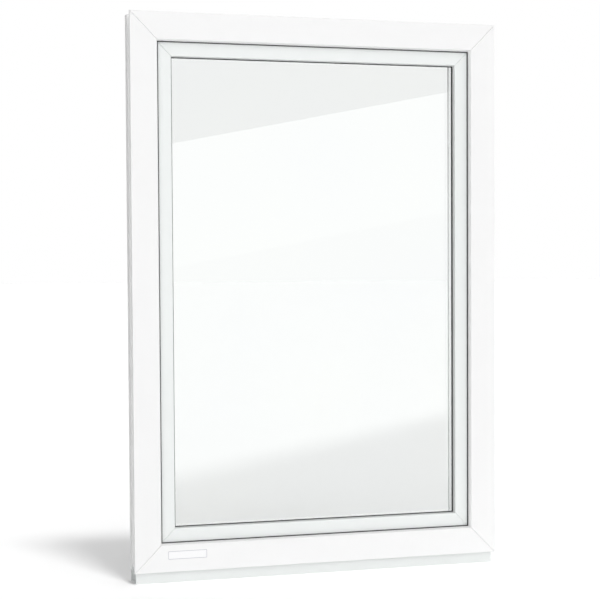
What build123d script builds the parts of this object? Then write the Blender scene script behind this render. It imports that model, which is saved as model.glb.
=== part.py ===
from build123d import *
import os

# White PVC window with one fixed-pane sash that opens inwards, closed.
# The row frame: +X to the right as seen from outside, +Y from outside to the room, +Z up.
# The origin is the middle of the underside of the sill profile.

# Overall sizes
frame_width = 960.0
frame_height = 1372.0
frame_depth = 70.0
sill_visible = 28.0

# Frame profile
frame_face = 66.0
stop_lip_depth = 12.0
stop_lip_slope = 4.1
frame_rebate = 20.0
flange_depth = 8.0
rear_land_width = 18.0
perimeter_recess_depth = 9.0
rear_land_inset = 3.0
clip_nib_reach = 1.5
clip_nib_height = 1.2

# Walls and small radii that all the profiles share
profile_wall = 2.8
profile_web = 1.2
edge_round = 1.0
lip_round = 1.5
weld_groove_width = 2.2
weld_groove_depth = 2.2

# Sash profile
sash_face = 47.0
rebate_air = 12.0
flap_overlap = 8.0
flap_gap = 4.0
flap_thickness = 11.0
sash_lip_depth = 12.0
sash_lip_slope = 2.0
glazing_rebate = 17.0
sash_lip_round = 2.5
flap_round = 4.0
hardware_groove_width = 16.0
hardware_groove_depth = 4.0
hardware_groove_land = 6.0

# Double glazing
pane_thickness = 4.0
cavity_width = 16.0
glass_edge_clearance = 5.0
seal_height = 6.5
spacer_height = 9.0
spacer_wall = 0.8

# Glazing bead
bead_height = 19.0
bead_setback = 2.0
bead_wall = 1.6
bead_clip_depth = 4.0
bead_clip_width = 4.0
bead_clip_clearance = 0.2
bead_rear_height = 7.0
bead_crest = 7.0
bead_round = 5.0

# Gaskets
stop_gasket_thickness = 3.0
stop_gasket_width = 12.0
glazing_gasket_thickness = 3.0
glazing_gasket_width = 13.5
bead_gasket_thickness = 3.0
bead_gasket_width = 12.0
bead_gasket_rise = 0.5
overlap_gasket_width = 6.0
overlap_gasket_inset = 1.5
gasket_nose = 1.5
gasket_nose_clearance = 0.3
gasket_nose_reach = 2.0
gasket_nose_taper = 0.5
gasket_foot_offset = 1.0
gasket_foot_width = 3.0
gasket_foot_depth = 2.6
gasket_foot_clearance = 0.2

# Sill profile
sill_setback = 14.0
sill_rear_setback = 1.0
sill_end_inset = 5.0
sill_wall = 2.0
clip_clearance = 0.3

# Handle, on the sash stile away from the hinges
rosette_width = 31.0
rosette_height = 72.0
rosette_thickness = 10.0
rosette_radius = 9.0
rosette_edge = 3.0
collar_radius = 12.5
collar_height = 3.0
lever_width = 20.0
lever_thickness = 12.0
lever_corner = 4.0
lever_standoff = 36.0
lever_bend = 16.0
lever_drop = 124.0
lever_end_round = 3.0

# Hinges, one at each end of the other stile
barrel_radius = 8.5
barrel_gap = 0.5
hinge_axis_setback = 2.0
hinge_seam_rise = 30.0
leaf_seam = 0.5
pin_radius = 3.0
pin_clearance = 0.2
pin_engagement = 14.0
pin_end_gap = 1.0
frame_leaf_height = 32.0
frame_leaf_margin = 6.0
frame_leaf_plate = 4.0
sash_leaf_height = 46.0
wing_width = 24.0
wing_thickness = 3.0
leaf_corner = 2.0

# Places worked out from the sizes: depth from the outside face, reach inwards from the frame's edge
outside_y = -frame_depth / 2
frame_bottom_z = sill_visible
frame_top_z = frame_bottom_z + frame_height
rebate_floor = frame_face - frame_rebate
stop_lip_end = frame_face + stop_lip_slope
recess_back = frame_depth - rear_land_width
sash_front = stop_lip_depth + stop_gasket_thickness
flap_front = frame_depth + flap_gap
sash_back = flap_front + flap_thickness
sash_edge = rebate_floor + rebate_air
sash_lip_start = sash_edge + sash_face
sash_lip_end = sash_lip_start + sash_lip_slope
sash_lip_back = sash_front + sash_lip_depth
flap_edge = rebate_floor - flap_overlap
glazing_floor = sash_lip_start - glazing_rebate
glass_front = sash_lip_back + glazing_gasket_thickness
cavity_front = glass_front + pane_thickness
cavity_back = cavity_front + cavity_width
glass_back = cavity_back + pane_thickness
glass_edge = glazing_floor + glass_edge_clearance
bead_front = glass_back + bead_gasket_thickness
bead_back = sash_back - bead_setback
bead_top = glazing_floor + bead_height
bead_clip_back = bead_back - bead_clip_width
bead_clip_front = bead_clip_back - bead_clip_width
stop_gasket_root = stop_lip_end + gasket_nose_reach - stop_gasket_width
glazing_gasket_root = sash_lip_end + gasket_nose_reach - glazing_gasket_width
overlap_gasket_root = flap_edge + overlap_gasket_inset

# The four runs of every mitred ring: start corner, run direction, inward direction and length
left_x = -frame_width / 2
right_x = frame_width / 2
ring_sides = {
    "bottom": ((left_x, frame_bottom_z), (1, 0), (0, 1), frame_width),
    "right": ((right_x, frame_bottom_z), (0, 1), (-1, 0), frame_height),
    "top": ((right_x, frame_top_z), (-1, 0), (0, -1), frame_width),
    "left": ((left_x, frame_top_z), (0, -1), (1, 0), frame_height),
}

os.makedirs("parts", exist_ok=True)


def save(piece, name):
    """Label one finished piece and write it as its own node."""
    piece.part.label = name
    export_step(piece.part, f"parts/{name}.step")


def outline(*points, mode=Mode.ADD):
    """Straight-sided outline through points given as (depth, reach)."""
    Polygon(*points, align=None, mode=mode)


def soften(section, corner, radius):
    """Round the corner of a section that lies at (depth, reach)."""
    fillet(section.vertices().sort_by_distance((corner[0], corner[1], 0))[0], radius)


def block(depth_from, depth_to, reach_from, reach_to, mode=Mode.ADD):
    """Rectangle of a section between two depths and two reaches."""
    outline(
        (depth_from, reach_from),
        (depth_to, reach_from),
        (depth_to, reach_to),
        (depth_from, reach_to),
        mode=mode,
    )


def gasket_foot(face_depth, into, root):
    """Foot of a gasket, standing into a profile face; into is +1 or -1 along the depth."""
    foot_from = root + gasket_foot_offset
    block(face_depth, face_depth + into * gasket_foot_depth, foot_from, foot_from + gasket_foot_width)


def gasket_groove(face_depth, into, root):
    """Groove for that foot, wider and deeper by the foot's clearance."""
    groove_from = root + gasket_foot_offset - gasket_foot_clearance
    groove_to = groove_from + gasket_foot_width + 2 * gasket_foot_clearance
    groove_floor = face_depth + into * (gasket_foot_depth + gasket_foot_clearance)
    block(face_depth, groove_floor, groove_from, groove_to, mode=Mode.SUBTRACT)


def lip_gasket(lip_depth, seat_depth, root, lip_end):
    """Gasket behind a lip: a flat strip, a foot in the lip and a nose that shows past its end."""
    tip = lip_end + gasket_nose_reach
    nose_depth = lip_depth - gasket_nose
    outline(
        (lip_depth, root),
        (lip_depth, lip_end + gasket_nose_clearance),
        (nose_depth, lip_end + gasket_nose_clearance + gasket_nose_taper),
        (nose_depth, tip - gasket_nose_taper),
        (seat_depth, tip),
        (seat_depth, root),
    )
    gasket_foot(lip_depth, -1, root)


def chamber(depth_from, depth_to, reach_from, reach_to):
    """Hollow chamber inside a profile section."""
    block(depth_from, depth_to, reach_from, reach_to, mode=Mode.SUBTRACT)


def mitred_ring(ring_name, draw_section, welded_faces=()):
    """Extrude one section along all four sides and mitre the ends at 45 degrees.
    Each welded face, as (depth, reach from, reach to), gets half of the groove that cleaning a weld leaves."""
    for side, (corner, run, inward, length) in ring_sides.items():
        start = Vector(corner[0], outside_y, corner[1])
        run_dir = Vector(run[0], 0, run[1])
        inward_dir = Vector(inward[0], 0, inward[1])
        end = start + run_dir * length
        with BuildPart() as member:
            with BuildSketch(Plane(origin=start, x_dir=(0, 1, 0), z_dir=run_dir)) as section:
                draw_section(section)
            extrude(amount=length)
            split(bisect_by=Plane(origin=start, z_dir=run_dir - inward_dir), keep=Keep.TOP)
            split(bisect_by=Plane(origin=end, z_dir=-run_dir - inward_dir), keep=Keep.TOP)
            for corner_point, diagonal in ((start, inward_dir + run_dir), (end, inward_dir - run_dir)):
                for face_depth, reach_from, reach_to in welded_faces:
                    seam_start = corner_point + diagonal * reach_from + Vector(0, face_depth, 0)
                    with BuildSketch(Plane(origin=seam_start, x_dir=(0, 1, 0), z_dir=diagonal)):
                        outline(
                            (-weld_groove_depth, 0),
                            (0, -weld_groove_width / 2),
                            (weld_groove_depth, 0),
                            (0, weld_groove_width / 2),
                        )
                    extrude(amount=(reach_to - reach_from) * diagonal.length, mode=Mode.SUBTRACT)
        save(member, f"{ring_name}_{side}")


# Frame: multi-chamber profile with a stop lip outside, a front flange and a clip recess round its edge
def frame_section(section):
    outline(
        (0, 0),
        (0, frame_face),
        (stop_lip_depth, stop_lip_end),
        (stop_lip_depth, rebate_floor),
        (frame_depth, rebate_floor),
        (frame_depth, rear_land_inset),
        (recess_back, rear_land_inset),
        (recess_back, perimeter_recess_depth),
        (flange_depth, perimeter_recess_depth),
        (flange_depth, 0),
    )
    soften(section, (0, frame_face), lip_round)
    soften(section, (0, 0), edge_round)
    soften(section, (frame_depth, rebate_floor), lip_round)
    soften(section, (frame_depth, rear_land_inset), edge_round)
    outline(
        (recess_back, rear_land_inset),
        (recess_back - clip_nib_reach, rear_land_inset),
        (recess_back, rear_land_inset + clip_nib_height),
    )
    gasket_groove(stop_lip_depth, -1, stop_gasket_root)
    floor = perimeter_recess_depth + profile_wall
    top = rebate_floor - profile_wall
    lip_chamber_back = stop_lip_depth - gasket_foot_depth - profile_wall / 2
    chamber(profile_wall, lip_chamber_back, floor, frame_face - profile_wall)
    drain_chamber_back = 2 * flange_depth
    chamber(lip_chamber_back + profile_web, drain_chamber_back, floor, top)
    steel_chamber_back = recess_back - profile_wall
    chamber(drain_chamber_back + profile_web, steel_chamber_back, floor, top)
    rear_middle = (recess_back + frame_depth) / 2
    chamber(steel_chamber_back + profile_web, rear_middle, floor, top)
    chamber(rear_middle + profile_web, frame_depth - profile_wall, rear_land_inset + profile_wall, top)


mitred_ring(
    "frame",
    frame_section,
    welded_faces=((0, 0, frame_face), (frame_depth, rear_land_inset, rebate_floor)),
)


# Sash: deeper profile that carries the glass, with an inside flap that laps over the frame
def sash_section(section):
    outline(
        (sash_front, sash_edge),
        (sash_front, sash_lip_start),
        (sash_lip_back, sash_lip_end),
        (sash_lip_back, glazing_floor),
        (sash_back, glazing_floor),
        (sash_back, flap_edge),
        (flap_front, flap_edge),
        (flap_front, sash_edge),
    )
    soften(section, (sash_front, sash_edge), lip_round)
    soften(section, (sash_front, sash_lip_start), sash_lip_round)
    soften(section, (sash_back, glazing_floor), edge_round)
    soften(section, (sash_back, flap_edge), flap_round)
    soften(section, (flap_front, flap_edge), edge_round)
    gasket_groove(sash_lip_back, -1, glazing_gasket_root)
    gasket_groove(flap_front, 1, overlap_gasket_root)
    block(
        bead_clip_front - bead_clip_clearance,
        bead_clip_back + bead_clip_clearance,
        glazing_floor - bead_clip_depth - bead_clip_clearance,
        glazing_floor,
        mode=Mode.SUBTRACT,
    )
    groove_back = flap_front - hardware_groove_land
    groove_front = groove_back - hardware_groove_width
    block(groove_front, groove_back, sash_edge, sash_edge + hardware_groove_depth, mode=Mode.SUBTRACT)
    floor = sash_edge + profile_wall
    top = glazing_floor - profile_wall
    lip_chamber_back = sash_lip_back - gasket_foot_depth - profile_wall / 2
    chamber(sash_front + profile_wall, lip_chamber_back, floor, sash_lip_start - profile_wall)
    drain_chamber_back = sash_lip_back + profile_wall
    chamber(lip_chamber_back + profile_web, drain_chamber_back, floor, top)
    steel_chamber_back = groove_front - profile_web
    chamber(drain_chamber_back + profile_web, steel_chamber_back, floor, top)
    groove_chamber_floor = floor + hardware_groove_depth
    groove_chamber_back = bead_clip_front - profile_wall
    chamber(steel_chamber_back + profile_web, groove_chamber_back, groove_chamber_floor, top)
    rear_top = glazing_floor - bead_clip_depth - profile_wall
    chamber(groove_chamber_back + profile_web, sash_back - profile_wall, groove_chamber_floor, rear_top)
    flap_chamber_front = flap_front + gasket_foot_depth + profile_wall / 2
    chamber(flap_chamber_front, sash_back - profile_wall, flap_edge + profile_wall, sash_edge)


mitred_ring(
    "sash",
    sash_section,
    welded_faces=((sash_front, sash_edge, sash_lip_start), (sash_back, flap_edge, glazing_floor)),
)


# Glazing bead: hollow strip inside, clipped into the sash, with a rounded slope towards the room
def bead_section(section):
    outline(
        (bead_front, glazing_floor),
        (bead_front, bead_top),
        (bead_front + bead_crest, bead_top),
        (bead_back, glazing_floor + bead_rear_height),
        (bead_back, glazing_floor),
    )
    soften(section, (bead_front + bead_crest, bead_top), bead_round)
    soften(section, (bead_front, bead_top), edge_round)
    soften(section, (bead_back, glazing_floor + bead_rear_height), lip_round)
    hollow_top = bead_top - bead_rear_height
    middle = bead_front + bead_crest
    chamber(bead_front + bead_wall, middle, glazing_floor + bead_wall, bead_top - 2 * bead_wall)
    chamber(middle + bead_wall, bead_clip_front, glazing_floor + bead_wall, hollow_top - 2 * bead_wall)
    block(bead_clip_front, bead_clip_back, glazing_floor - bead_clip_depth, glazing_floor)


mitred_ring("glazing_bead", bead_section)


# Gaskets: outer stop, both sides of the glass, and the inner one under the sash flap
def stop_gasket_section(section):
    lip_gasket(stop_lip_depth, sash_front, stop_gasket_root, stop_lip_end)


def glazing_gasket_section(section):
    lip_gasket(sash_lip_back, glass_front, glazing_gasket_root, sash_lip_end)


def bead_gasket_section(section):
    bead_gasket_top = bead_top + bead_gasket_rise
    block(glass_back, bead_front, bead_gasket_top - bead_gasket_width, bead_gasket_top)
    soften(section, (bead_front, bead_gasket_top), gasket_nose_taper)


def overlap_gasket_section(section):
    block(frame_depth, flap_front, overlap_gasket_root, overlap_gasket_root + overlap_gasket_width)
    gasket_foot(flap_front, 1, overlap_gasket_root)


mitred_ring("stop_gasket", stop_gasket_section)
mitred_ring("glazing_gasket", glazing_gasket_section)
mitred_ring("bead_gasket", bead_gasket_section)
mitred_ring("overlap_gasket", overlap_gasket_section)


# Sealed glazing unit: edge seal and hollow spacer between two panes
def edge_seal_section(section):
    block(cavity_front, cavity_back, glass_edge, glass_edge + seal_height)


def spacer_section(section):
    spacer_edge = glass_edge + seal_height
    block(cavity_front, cavity_back, spacer_edge, spacer_edge + spacer_height)
    block(
        cavity_front + spacer_wall,
        cavity_back - spacer_wall,
        spacer_edge + spacer_wall,
        spacer_edge + spacer_height - spacer_wall,
        mode=Mode.SUBTRACT,
    )


mitred_ring("edge_seal", edge_seal_section)
mitred_ring("spacer", spacer_section)

for pane_name, pane_depth in (("glass_outer", glass_front), ("glass_inner", cavity_back)):
    with BuildPart() as pane:
        pane_origin = (0, outside_y + pane_depth, frame_bottom_z + frame_height / 2)
        with BuildSketch(Plane(origin=pane_origin, x_dir=(1, 0, 0), z_dir=(0, 1, 0))):
            Rectangle(frame_width - 2 * glass_edge, frame_height - 2 * glass_edge)
        extrude(amount=pane_thickness)
    save(pane, pane_name)


# Sill profile: open-ended chambers under the frame, with a tongue that clips into the frame's recess
sill_back = frame_depth - sill_rear_setback
sill_length = frame_width - 2 * sill_end_inset
land_z = sill_visible + rear_land_inset
tongue_top = sill_visible + perimeter_recess_depth
tongue_back = recess_back - clip_clearance
hook_back = recess_back - clip_nib_reach - clip_clearance
hook_z = land_z + clip_nib_height + clip_clearance

with BuildPart() as sill_profile:
    sill_plane = Plane(origin=(-sill_length / 2, outside_y, 0), x_dir=(0, 1, 0), z_dir=(1, 0, 0))
    with BuildSketch(sill_plane) as sill_section:
        outline(
            (sill_setback, 0),
            (sill_setback, tongue_top),
            (tongue_back, tongue_top),
            (tongue_back, hook_z),
            (hook_back, hook_z),
            (hook_back, land_z),
            (sill_back, land_z),
            (sill_back, 0),
        )
        soften(sill_section, (sill_setback, 0), edge_round)
        soften(sill_section, (sill_back, 0), edge_round)
        tongue_middle = (sill_setback + hook_back) / 2
        chamber(sill_setback + sill_wall, tongue_middle, sill_wall, tongue_top - sill_wall)
        chamber(tongue_middle + profile_web, hook_back - sill_wall, sill_wall, tongue_top - sill_wall)
        chamber(hook_back - sill_wall + profile_web, sill_back - sill_wall, sill_wall, land_z - sill_wall)
    extrude(amount=sill_length)
save(sill_profile, "sill_profile")


# Handle: rosette on the closing stile and a lever that hangs down when shut
room_face_y = outside_y + sash_back
handle_x = right_x - (flap_edge + glazing_floor) / 2
handle_z = frame_bottom_z + frame_height / 2
rosette_plane = Plane(origin=(handle_x, room_face_y, handle_z), x_dir=(1, 0, 0), z_dir=(0, 1, 0))

with BuildPart() as handle_rosette:
    with BuildSketch(rosette_plane):
        RectangleRounded(rosette_width, rosette_height, rosette_radius)
    extrude(amount=rosette_thickness)
    fillet(handle_rosette.faces().sort_by(Axis.Y)[-1].edges(), rosette_edge)
    with BuildSketch(rosette_plane.offset(rosette_thickness)):
        Circle(collar_radius)
    extrude(amount=collar_height)
save(handle_rosette, "handle_rosette")

collar_y = room_face_y + rosette_thickness + collar_height
with BuildPart() as handle_lever:
    lever_plane = Plane(origin=(handle_x, collar_y, handle_z), x_dir=(0, 1, 0), z_dir=(1, 0, 0))
    with BuildLine(lever_plane):
        neck = Line((0, 0), (lever_standoff - lever_bend, 0))
        bend = JernArc(neck @ 1, neck % 1, lever_bend, -90)
        Line(bend @ 1, (bend @ 1) - (0, lever_drop - lever_bend))
    with BuildSketch(Plane(origin=(handle_x, collar_y, handle_z), x_dir=(1, 0, 0), z_dir=(0, 1, 0))):
        RectangleRounded(lever_width, lever_thickness, lever_corner)
    sweep()
    fillet(handle_lever.faces().sort_by(Axis.Z)[0].edges(), lever_end_round)
save(handle_lever, "handle_lever")


# Hinges: each has a leaf on the frame with the pin and a leaf on the sash that turns on it
axis_reach = flap_edge - barrel_gap - barrel_radius
axis_x = left_x + axis_reach
axis_y = outside_y + sash_back - hinge_axis_setback
frame_face_y = outside_y + frame_depth
seam_reach = flap_edge + hinge_seam_rise


def hinge(hinge_name, seam_z, away):
    """One hinge; away is +1 where the sash leaf is above the seam and -1 where it is below."""
    with BuildPart() as frame_leaf:
        with BuildSketch(Plane.XY.offset(seam_z)):
            with Locations((axis_x, axis_y)):
                Circle(barrel_radius)
            with Locations((axis_x, (frame_face_y + axis_y) / 2)):
                Rectangle(2 * barrel_radius, axis_y - frame_face_y)
            plate_width = axis_reach + barrel_radius - frame_leaf_margin
            with Locations((left_x + frame_leaf_margin + plate_width / 2, frame_face_y + frame_leaf_plate / 2)):
                Rectangle(plate_width, frame_leaf_plate)
        extrude(amount=-away * frame_leaf_height)
        fillet(frame_leaf.edges().filter_by(Axis.Y).group_by(Axis.X)[0], leaf_corner)
        with BuildSketch(Plane.XY.offset(seam_z)):
            with Locations((axis_x, axis_y)):
                Circle(pin_radius)
        extrude(amount=away * pin_engagement)
    save(frame_leaf, f"{hinge_name}_hinge_frame_leaf")

    leaf_start = seam_z + away * leaf_seam
    with BuildPart() as sash_leaf:
        with BuildSketch(Plane.XY.offset(leaf_start)):
            with Locations((axis_x, axis_y)):
                Circle(barrel_radius)
            wing_from = axis_x
            wing_to = left_x + flap_edge + wing_width
            with Locations(((wing_from + wing_to) / 2, room_face_y + wing_thickness / 2)):
                Rectangle(wing_to - wing_from, wing_thickness)
        extrude(amount=away * sash_leaf_height)
        fillet(sash_leaf.edges().filter_by(Axis.Y).group_by(Axis.X)[-1], leaf_corner)
        with BuildSketch(Plane.XY.offset(leaf_start)):
            with Locations((axis_x, axis_y)):
                Circle(pin_radius + pin_clearance)
        extrude(amount=away * (pin_engagement + pin_end_gap), mode=Mode.SUBTRACT)
    save(sash_leaf, f"{hinge_name}_hinge_sash_leaf")


hinge("lower", frame_bottom_z + seam_reach, 1)
hinge("upper", frame_top_z - seam_reach, -1)
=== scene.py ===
import math

import bmesh
import bpy
from mathutils import Matrix, Vector


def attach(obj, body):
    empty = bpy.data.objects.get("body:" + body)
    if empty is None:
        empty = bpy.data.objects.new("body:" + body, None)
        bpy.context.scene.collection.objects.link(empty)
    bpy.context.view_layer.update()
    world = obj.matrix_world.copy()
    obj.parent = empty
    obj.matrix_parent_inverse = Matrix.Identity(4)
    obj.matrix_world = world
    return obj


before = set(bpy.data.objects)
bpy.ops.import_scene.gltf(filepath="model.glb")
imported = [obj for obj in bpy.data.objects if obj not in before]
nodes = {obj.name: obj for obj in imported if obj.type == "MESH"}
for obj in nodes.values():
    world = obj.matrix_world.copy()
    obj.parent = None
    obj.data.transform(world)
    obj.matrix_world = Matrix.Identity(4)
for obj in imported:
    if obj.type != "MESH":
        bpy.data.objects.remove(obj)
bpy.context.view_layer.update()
scene = bpy.context.scene

# The camera stands outside the window, a little to its left and just above mid height.
# The long lens keeps the frame's edges nearly parallel, as in the photograph.
camera_place = (-1.338, -4.096, 0.792)
degrees_right = 18.17
degrees_down = 2.546
degrees_rolled = -0.289
camera_data = bpy.data.cameras.new("camera")
camera_data.lens = 101.8
camera_data.sensor_width = 36
camera_data.shift_x = -0.030
camera_data.shift_y = 0.0618
camera = bpy.data.objects.new("camera", camera_data)
camera.matrix_world = (
    Matrix.Translation(camera_place)
    @ Matrix.Rotation(math.radians(-degrees_right), 4, "Z")
    @ Matrix.Rotation(math.radians(90 - degrees_down), 4, "X")
    @ Matrix.Rotation(math.radians(degrees_rolled), 4, "Z")
)
scene.collection.objects.link(camera)
scene.camera = camera


# Outer frame: four members of white PVC-U, extruded as hollow sections and welded at the mitres.
# The sizing die leaves a smooth satin skin with very fine lines along each member, so the
# members that lie and the members that stand have the same finish in two directions.
def linear(code):
    """An sRGB colour such as F4F6F5 as the linear values that a shader takes."""
    parts = [int(code[i:i + 2], 16) / 255 for i in (0, 2, 4)]
    return [p / 12.92 if p <= 0.04045 else ((p + 0.055) / 1.055) ** 2.4 for p in parts] + [1]


def add_node(material, kind, settings=None, links=None):
    """Adds one node, sets its options and sockets, and links what feeds it."""
    node = material.node_tree.nodes.new(kind)
    for name, value in (settings or {}).items():
        if isinstance(name, int) or name in node.inputs:
            node.inputs[name].default_value = value
        else:
            setattr(node, name, value)
    for name, socket in (links or {}).items():
        material.node_tree.links.new(socket, node.inputs[name])
    return node


def new_material(name):
    material = bpy.data.materials.new(name)
    material.use_nodes = True
    material.node_tree.nodes.clear()
    return material


def dress(node_names, material):
    """Gives each of these nodes the material and no other."""
    for name in node_names:
        mesh = nodes[name].data
        mesh.materials.clear()
        mesh.materials.append(material)


def extruded_pvc(name, whites, stretch):
    """White PVC-U: two whites a shade apart in a fine mottle, die lines that are coarser than
    real ones so that they show, and a skin that is a little glossier in places. stretch draws
    the die lines out along the member."""
    mottle_width = 0.006
    line_spacing = 0.0025
    line_height = 0.00004
    material = new_material(name)
    place = add_node(material, "ShaderNodeTexCoord").outputs["Object"]
    mottle = add_node(
        material, "ShaderNodeTexNoise", {"Scale": 1 / mottle_width, "Detail": 3}, {"Vector": place}
    )
    white = add_node(
        material, "ShaderNodeMix",
        {"data_type": "RGBA", 6: linear(whites[0]), 7: linear(whites[1])},
        {0: mottle.outputs["Fac"]},
    )
    along = add_node(material, "ShaderNodeMapping", {"Scale": stretch}, {"Vector": place})
    lines = add_node(
        material, "ShaderNodeTexNoise", {"Scale": 1 / line_spacing, "Detail": 2}, {"Vector": along.outputs[0]}
    )
    gloss = add_node(
        material, "ShaderNodeMapRange", {"To Min": 0.37, "To Max": 0.41}, {"Value": mottle.outputs["Fac"]}
    )
    bump = add_node(
        material, "ShaderNodeBump", {"Strength": 0.25, "Distance": line_height},
        {"Height": lines.outputs["Fac"]},
    )
    shader = add_node(
        material, "ShaderNodeBsdfPrincipled", {"IOR": 1.53},
        {"Base Color": white.outputs[2], "Roughness": gloss.outputs[0], "Normal": bump.outputs[0]},
    )
    add_node(material, "ShaderNodeOutputMaterial", {}, {"Surface": shader.outputs[0]})
    return material


frame_whites = ("F6F6F6", "F5F5F5")
drawn_out = 0.004
lying = (drawn_out, 1, 1)
standing = (1, 1, drawn_out)
pvc_lying = extruded_pvc("extruded_pvc_u_lying", frame_whites, lying)
pvc_standing = extruded_pvc("extruded_pvc_u_standing", frame_whites, standing)
dress(["frame_top", "frame_bottom"], pvc_lying)
dress(["frame_left", "frame_right"], pvc_standing)


# Sash: four lighter members of the same PVC-U, welded at the mitres and set back in the frame.
# It carries the glass, and it is shut. Its white is cooler than the frame's, and darker as painted shade of
# its setback.
sash_whites_with_painted_shade = ("F0F3F2", "EFF2F1")
sash_lying = extruded_pvc("extruded_cool_pvc_u_with_painted_shade_lying", sash_whites_with_painted_shade, lying)
sash_standing = extruded_pvc("extruded_cool_pvc_u_with_painted_shade_standing", sash_whites_with_painted_shade, standing)
dress(["sash_top", "sash_bottom"], sash_lying)
dress(["sash_left", "sash_right"], sash_standing)


# Stop gasket and overlap gasket: extruded EPDM lips, one outside and one on the room side.
# Their feet are pushed into grooves, and the rubber is matt with a fine grain.
def extruded_rubber(name, dark, pale, grain):
    """A matt compound: a bloom that turns it paler and duller in places, and a grain in metres."""
    bloom_width = 0.03
    grain_height = 0.0001
    material = new_material(name)
    place = add_node(material, "ShaderNodeTexCoord").outputs["Object"]
    bloom = add_node(
        material, "ShaderNodeTexNoise", {"Scale": 1 / bloom_width, "Detail": 3}, {"Vector": place}
    )
    tone = add_node(
        material, "ShaderNodeMix",
        {"data_type": "RGBA", 6: linear(dark), 7: linear(pale)},
        {0: bloom.outputs["Fac"]},
    )
    grit = add_node(material, "ShaderNodeTexNoise", {"Scale": 1 / grain, "Detail": 2}, {"Vector": place})
    dull = add_node(
        material, "ShaderNodeMapRange", {"To Min": 0.55, "To Max": 0.75}, {"Value": bloom.outputs["Fac"]}
    )
    bump = add_node(
        material, "ShaderNodeBump", {"Strength": 0.3, "Distance": grain_height},
        {"Height": grit.outputs["Fac"]},
    )
    shader = add_node(
        material, "ShaderNodeBsdfPrincipled", {"IOR": 1.5},
        {"Base Color": tone.outputs[2], "Roughness": dull.outputs[0], "Normal": bump.outputs[0]},
    )
    add_node(material, "ShaderNodeOutputMaterial", {}, {"Surface": shader.outputs[0]})
    return material


rubber_grain = 0.0008
epdm = extruded_rubber("extruded_epdm", "2B2C2C", "383939", rubber_grain)
sides = ["bottom", "right", "top", "left"]
dress(["stop_gasket_" + side for side in sides], epdm)
dress(["overlap_gasket_" + side for side in sides], epdm)


# Glazing gasket and bead gasket: lips that hold the glazing unit from both sides. The outer one
# is the same EPDM as the stop gasket. The inner one is light grey, extruded with its bead.
dress(["glazing_gasket_" + side for side in sides], epdm)
grey_lip = extruded_rubber("light_grey_co_extruded_lip", "E6E8E8", "E0E3E3", rubber_grain)
dress(["bead_gasket_" + side for side in sides], grey_lip)


# Glazing unit, the panes: two sheets of clear float glass, 4 mm thick, 16 mm apart.
# Float glass has a faint green cast, and waves too long and shallow to feel.
wave_length = 0.3
float_glass = new_material("clear_float_glass")
place = add_node(float_glass, "ShaderNodeTexCoord").outputs["Object"]
roller_wave = add_node(
    float_glass, "ShaderNodeTexNoise", {"Scale": 1 / wave_length, "Detail": 0}, {"Vector": place}
)
cast = add_node(
    float_glass, "ShaderNodeMix",
    {"data_type": "RGBA", 6: linear("FEFFFE"), 7: linear("FDFEFE")},
    {0: roller_wave.outputs["Fac"]},
)
wave = add_node(
    float_glass, "ShaderNodeBump", {"Strength": 0.05, "Distance": 0.0001},
    {"Height": roller_wave.outputs["Fac"]},
)
shader = add_node(
    float_glass, "ShaderNodeBsdfPrincipled",
    {"IOR": 1.52, "Roughness": 0.0, "Transmission Weight": 1.0},
    {"Base Color": cast.outputs[2], "Normal": wave.outputs[0]},
)
add_node(float_glass, "ShaderNodeOutputMaterial", {}, {"Surface": shader.outputs[0]})
dress(["glass_outer", "glass_inner"], float_glass)


# Glazing unit, the spacer: a roll-formed aluminium tube between the panes, mill finished.
# The mill leaves it bright, with a fine grain that is glossier in places.
mill_grain = 0.001
mill_aluminium = new_material("mill_finish_aluminium")
place = add_node(mill_aluminium, "ShaderNodeTexCoord").outputs["Object"]
rolled = add_node(
    mill_aluminium, "ShaderNodeTexNoise", {"Scale": 1 / mill_grain, "Detail": 2}, {"Vector": place}
)
sheen = add_node(
    mill_aluminium, "ShaderNodeMapRange", {"To Min": 0.10, "To Max": 0.18}, {"Value": rolled.outputs["Fac"]}
)
metal = add_node(
    mill_aluminium, "ShaderNodeMix",
    {"data_type": "RGBA", 6: linear("EAEBEC"), 7: linear("F3F4F4")},
    {0: rolled.outputs["Fac"]},
)
shader = add_node(
    mill_aluminium, "ShaderNodeBsdfPrincipled", {"Metallic": 1.0},
    {"Base Color": metal.outputs[2], "Roughness": sheen.outputs[0]},
)
add_node(mill_aluminium, "ShaderNodeOutputMaterial", {}, {"Surface": shader.outputs[0]})
dress(["spacer_" + side for side in sides], mill_aluminium)


# Glazing unit, the edge seal: polysulphide sealant, gunned in round the spacer and levelled.
# It is black and matt, with the shallow ripples of the trowel.
trowel_ripple = 0.004
polysulphide = extruded_rubber("polysulphide_sealant", "141515", "1E1F1F", trowel_ripple)
dress(["edge_seal_" + side for side in sides], polysulphide)


# Glazing beads: slim hollow PVC-U strips on the room side, mitred and clipped into the sash.
# They come from the same extruder as the frame.
dress(["glazing_bead_top", "glazing_bead_bottom"], pvc_lying)
dress(["glazing_bead_left", "glazing_bead_right"], pvc_standing)


# Sill profile: a PVC-U extrusion clipped under the frame, sawn off and left open at its ends.
# Its white is painted darker than the sash's, a painted shade for where it sits set back under the frame.
sill_whites_with_painted_shade = ("EBEEED", "EAEDEC")
dress(["sill_profile"], extruded_pvc("extruded_pvc_u_with_painted_shade_lying", sill_whites_with_painted_shade, lying))
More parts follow.
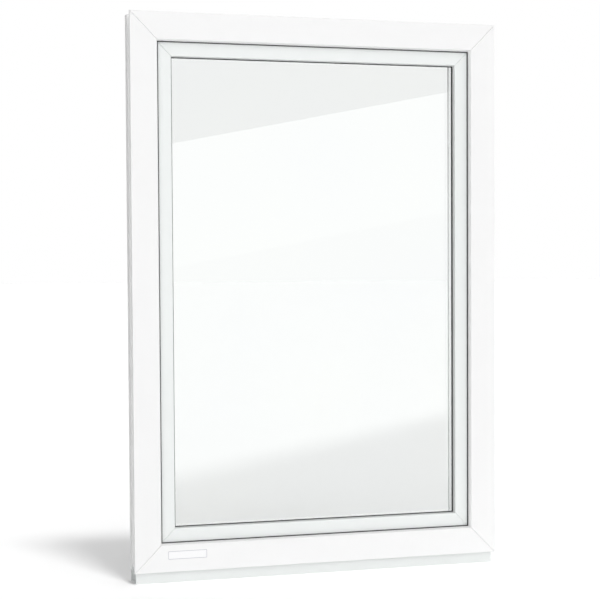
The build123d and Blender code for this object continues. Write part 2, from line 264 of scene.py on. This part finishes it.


# Blank label: a strip of white polypropylene film stuck on the frame's bottom member.
# It is left bare, with a thin darker edge all round.
label_corner = 0.0015
dark_edge_width = 0.0013
label_low = Vector((-0.396, -0.03512, 0.0590))
label_high = Vector((-0.298, -0.035, 0.0792))
label_mesh = bmesh.new()
bmesh.ops.create_cube(label_mesh, size=1)
bmesh.ops.scale(label_mesh, vec=label_high - label_low, verts=label_mesh.verts)
bmesh.ops.translate(label_mesh, vec=(label_low + label_high) / 2, verts=label_mesh.verts)
corner_edges = [e for e in label_mesh.edges if abs(e.verts[0].co.y - e.verts[1].co.y) > 0.0001]
bmesh.ops.bevel(
    label_mesh, geom=corner_edges, offset=label_corner, segments=4, profile=0.5, affect="EDGES", material=-1
)
front = [f for f in label_mesh.faces if f.normal.y < -0.5]
edge_strip = bmesh.ops.inset_region(
    label_mesh, faces=front, thickness=dark_edge_width, use_even_offset=True
)
for face in edge_strip["faces"]:
    face.material_index = 1
blank_label = bpy.data.objects.new("blank_label", bpy.data.meshes.new("blank_label"))
label_mesh.to_mesh(blank_label.data)
label_mesh.free()
scene.collection.objects.link(blank_label)


def label_film(name, tone, shade):
    """Satin film, or its darker edge: two tones in a soft mottle."""
    mottle_width = 0.004
    material = new_material(name)
    place = add_node(material, "ShaderNodeTexCoord").outputs["Object"]
    mottle = add_node(
        material, "ShaderNodeTexNoise", {"Scale": 1 / mottle_width, "Detail": 2}, {"Vector": place}
    )
    colour = add_node(
        material, "ShaderNodeMix",
        {"data_type": "RGBA", 6: linear(tone), 7: linear(shade)},
        {0: mottle.outputs["Fac"]},
    )
    shader = add_node(
        material, "ShaderNodeBsdfPrincipled", {"IOR": 1.49, "Roughness": 0.45},
        {"Base Color": colour.outputs[2]},
    )
    add_node(material, "ShaderNodeOutputMaterial", {}, {"Surface": shader.outputs[0]})
    return material


blank_label.data.materials.append(label_film("polypropylene_film", "FBFBFC", "F8F8F9"))
blank_label.data.materials.append(label_film("darker_label_edge", "CDCDD3", "C5C5CC"))
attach(blank_label, "root")


# Handle: a die-cast lever and rosette on the room side, coated with white powder enamel.
# The coat flows into a faint orange peel.
peel_width = 0.002
peel_height = 0.00006
powder_enamel = new_material("white_powder_enamel")
place = add_node(powder_enamel, "ShaderNodeTexCoord").outputs["Object"]
peel = add_node(
    powder_enamel, "ShaderNodeTexNoise", {"Scale": 1 / peel_width, "Detail": 1}, {"Vector": place}
)
coat = add_node(
    powder_enamel, "ShaderNodeMix",
    {"data_type": "RGBA", 6: linear("F1F2F2"), 7: linear("ECEEEE")},
    {0: peel.outputs["Fac"]},
)
bump = add_node(
    powder_enamel, "ShaderNodeBump", {"Strength": 0.3, "Distance": peel_height},
    {"Height": peel.outputs["Fac"]},
)
shader = add_node(
    powder_enamel, "ShaderNodeBsdfPrincipled", {"IOR": 1.5, "Roughness": 0.28},
    {"Base Color": coat.outputs[2], "Normal": bump.outputs[0]},
)
add_node(powder_enamel, "ShaderNodeOutputMaterial", {}, {"Surface": shader.outputs[0]})
dress(["handle_rosette", "handle_lever"], powder_enamel)


# Hinges: steel leaves and pins on the room side, coated with the same enamel as the handle.
dress([name for name in nodes if "hinge" in name], powder_enamel)


# Studio: a pale floor that runs out to white, white all round, and soft light.
# Cards that only the panes mirror give them their darker top and foot.
def room_card(name, corners):
    """A flat card of the studio, no part of the object."""
    mesh = bpy.data.meshes.new(name)
    mesh.from_pydata(corners, [], [(0, 1, 2, 3)])
    card = bpy.data.objects.new(name, mesh)
    scene.collection.objects.link(card)
    return card


def sees_white(material):
    """1 for camera, glossy and transmission rays, 0 for the rays that light the object."""
    path = add_node(material, "ShaderNodeLightPath")
    seen = add_node(
        material, "ShaderNodeMath", {"operation": "MAXIMUM"},
        {0: path.outputs["Is Camera Ray"], 1: path.outputs["Is Glossy Ray"]},
    )
    return add_node(
        material, "ShaderNodeMath", {"operation": "MAXIMUM"},
        {0: seen.outputs[0], 1: path.outputs["Is Transmission Ray"]},
    ).outputs[0]


def behind_left(material, point, reach):
    """1 behind the window's front and to its left, fading to 0 in front and on the right."""
    left = add_node(
        material, "ShaderNodeMapRange", {"From Min": 0.0, "From Max": -reach}, {"Value": point.outputs["X"]}
    )
    behind = add_node(
        material, "ShaderNodeMapRange", {"From Min": 0.0, "From Max": reach}, {"Value": point.outputs["Y"]}
    )
    return add_node(
        material, "ShaderNodeMath", {"operation": "MULTIPLY"}, {0: left.outputs[0], 1: behind.outputs[0]}
    ).outputs[0]


# The paper gives little light back behind the window on the left, as a dim corner does. It is
# lifted for the camera, and half as much in the panes, so that it runs out to white.
far = 60
floor_fade = 0.2
patch_width = 0.5
paper_lift = 0.037
floor = room_card("floor", [(-far, -far, 0), (far, -far, 0), (far, far, 0), (-far, far, 0)])
paper = new_material("pale_background_paper")
place = add_node(paper, "ShaderNodeTexCoord").outputs["Object"]
fibre = add_node(paper, "ShaderNodeTexNoise", {"Scale": 1 / patch_width, "Detail": 1}, {"Vector": place})
shade = add_node(
    paper, "ShaderNodeMix",
    {"data_type": "RGBA", 6: linear("EBEBEB"), 7: linear("ECECEC")},
    {0: fibre.outputs["Fac"]},
)
path = add_node(paper, "ShaderNodeLightPath")
beside = add_node(paper, "ShaderNodeSeparateXYZ", {}, {0: place})
bounce = add_node(
    paper, "ShaderNodeMath", {"operation": "MULTIPLY"},
    {0: behind_left(paper, beside, floor_fade), 1: path.outputs["Is Diffuse Ray"]},
)
dimmed = add_node(
    paper, "ShaderNodeMix", {"data_type": "RGBA", 7: linear("404040")},
    {0: bounce.outputs[0], 6: shade.outputs[2]},
)
diffuse = add_node(paper, "ShaderNodeBsdfDiffuse", {}, {"Color": dimmed.outputs[2]})
seen = add_node(
    paper, "ShaderNodeMath", {"operation": "ADD"}, {0: sees_white(paper), 1: path.outputs["Is Camera Ray"]}
)
lift = add_node(paper, "ShaderNodeMath", {"operation": "MULTIPLY", 1: paper_lift}, {0: seen.outputs[0]})
lifted = add_node(paper, "ShaderNodeEmission", {}, {"Strength": lift.outputs[0]})
both = add_node(paper, "ShaderNodeAddShader", {}, {0: diffuse.outputs[0], 1: lifted.outputs[0]})
add_node(paper, "ShaderNodeOutputMaterial", {}, {"Surface": both.outputs[0]})
floor.data.materials.append(paper)


def reflection_card(name, corners, strength):
    """A card that only the panes mirror. strength is one level, or the levels away from and near
    the window for a card that fades across the floor. A ray that has not been reflected yet
    goes through it, so that it does not show through the panes from the room."""
    fade_heading = -43.6
    fade_starts = -1.5
    fade_ends = -1.0
    card = room_card(name, corners)
    material = new_material(name)
    light = add_node(material, "ShaderNodeEmission")
    if isinstance(strength, tuple):
        place = add_node(material, "ShaderNodeTexCoord").outputs["Object"]
        turned = add_node(
            material, "ShaderNodeMapping", {"Rotation": (0, 0, math.radians(fade_heading))}, {"Vector": place}
        )
        across = add_node(material, "ShaderNodeSeparateXYZ", {}, {0: turned.outputs[0]})
        fade = add_node(
            material, "ShaderNodeMapRange",
            {"interpolation_type": "SMOOTHSTEP", "From Min": fade_starts, "From Max": fade_ends,
             "To Min": strength[0], "To Max": strength[1]},
            {"Value": across.outputs[0]},
        )
        material.node_tree.links.new(fade.outputs[0], light.inputs["Strength"])
    else:
        light.inputs["Strength"].default_value = strength
    path = add_node(material, "ShaderNodeLightPath")
    mirrored = add_node(
        material, "ShaderNodeMath", {"operation": "MULTIPLY"},
        {0: path.outputs["Glossy Depth"], 1: path.outputs["Is Singular Ray"]},
    )
    clear = add_node(material, "ShaderNodeBsdfTransparent")
    reflected = add_node(
        material, "ShaderNodeMixShader", {},
        {0: mirrored.outputs[0], 1: clear.outputs[0], 2: light.outputs[0]},
    )
    add_node(material, "ShaderNodeOutputMaterial", {}, {"Surface": reflected.outputs[0]})
    card.data.materials.append(material)
    card.visible_camera = False
    card.visible_diffuse = False
    card.visible_shadow = False


# The ceiling darkens the top of the panes, the wall takes a little off their middle, and the
# floor darkens their foot. Between the ceiling and the wall they mirror the white room.
reflection_card("ceiling_card", [(-2.5, -2.2, 0.716), (4, -2.2, 2.0), (4, -2.2, 5), (-2.5, -2.2, 5)], 0.30)
reflection_card("wall_card", [(-3, -6, 0), (8, -6, 0), (8, -6, 2.08), (-3, -6, -0.017)], 0.90)
reflection_card(
    "floor_card", [(-4, -6, 0.002), (7, -6, 0.002), (7, -0.06, 0.002), (-4, -0.06, 0.002)], (0.90, 0.02)
)


def soft_lamp(name, energy, angle, direction):
    """Light from far away, along a direction, spread over an angle in degrees."""
    lamp_data = bpy.data.lights.new(name, "SUN")
    lamp_data.energy = energy
    lamp_data.angle = math.radians(angle)
    lamp = bpy.data.objects.new(name, lamp_data)
    lamp.rotation_euler = Vector(direction).to_track_quat("-Z", "Y").to_euler()
    lamp.visible_glossy = False
    lamp.visible_transmission = False
    scene.collection.objects.link(lamp)
    return lamp


# The first lamp lights everything from in front.
soft_lamp("soft_lamp", energy=0.575, angle=60, direction=(0.25, 0.84, -0.47))

# The floor lamp lights the floor alone, which leaves the object's soft shadow on it.
floor_lamp = soft_lamp("floor_lamp", energy=1.48, angle=10, direction=(-0.075, 0.450, -0.890))
floor_only = bpy.data.collections.new("floor_only")
floor_only.objects.link(floor)
floor_lamp.light_linking.receiver_collection = floor_only

# The room lamp lights everything but the floor, from the room side.
room_lamp = soft_lamp("room_lamp", energy=1.2, angle=60, direction=(-0.1, -0.85, -0.45))
all_but_floor = bpy.data.collections.new("all_but_floor")
all_but_floor.objects.link(floor)
all_but_floor.collection_objects[0].light_linking.link_state = "EXCLUDE"
room_lamp.light_linking.receiver_collection = all_but_floor

# The panes stop the light of lamps, which real ones let through. The pane lamp gives it back
# to the beads and their gaskets, from in front and past the panes.
pane_lamp = soft_lamp("pane_lamp", energy=4.2, angle=170, direction=(0, 1, 0))
behind_panes = bpy.data.collections.new("behind_panes")
for side in sides:
    behind_panes.objects.link(nodes["glazing_bead_" + side])
    behind_panes.objects.link(nodes["bead_gasket_" + side])
pane_lamp.light_linking.receiver_collection = behind_panes
past_panes = bpy.data.collections.new("past_panes")
for name in ("glass_outer", "glass_inner"):
    past_panes.objects.link(nodes[name])
for pane in past_panes.collection_objects:
    pane.light_linking.link_state = "EXCLUDE"
pane_lamp.light_linking.blocker_collection = past_panes

# The room is brighter on the right than on the left, and dim behind the window on the left.
# What the camera, the panes and glossy faces see of it is plain white.
left_level = 0.31
right_level = 0.95
right_starts = 0.25
dim_level = 0.05
room_fade = 0.2
white_level = 1.0
world = bpy.data.worlds.new("white_room")
world.use_nodes = True
world.node_tree.nodes.clear()
around = add_node(world, "ShaderNodeTexCoord").outputs["Generated"]
sideways = add_node(world, "ShaderNodeSeparateXYZ", {}, {0: around})
slope = add_node(
    world, "ShaderNodeMapRange",
    {"From Min": -1.0, "From Max": right_starts, "To Min": left_level, "To Max": right_level},
    {"Value": sideways.outputs["X"]},
)
room_level = add_node(
    world, "ShaderNodeMix", {"data_type": "FLOAT", 3: dim_level},
    {0: behind_left(world, sideways, room_fade), 2: slope.outputs[0]},
)
level = add_node(
    world, "ShaderNodeMix", {"data_type": "FLOAT", 3: white_level},
    {0: sees_white(world), 2: room_level.outputs[0]},
)
background = add_node(world, "ShaderNodeBackground", {"Color": (1, 1, 1, 1)}, {"Strength": level.outputs[0]})
add_node(world, "ShaderNodeOutputWorld", {}, {"Surface": background.outputs[0]})
scene.world = world

scene.view_settings.view_transform = "Standard"
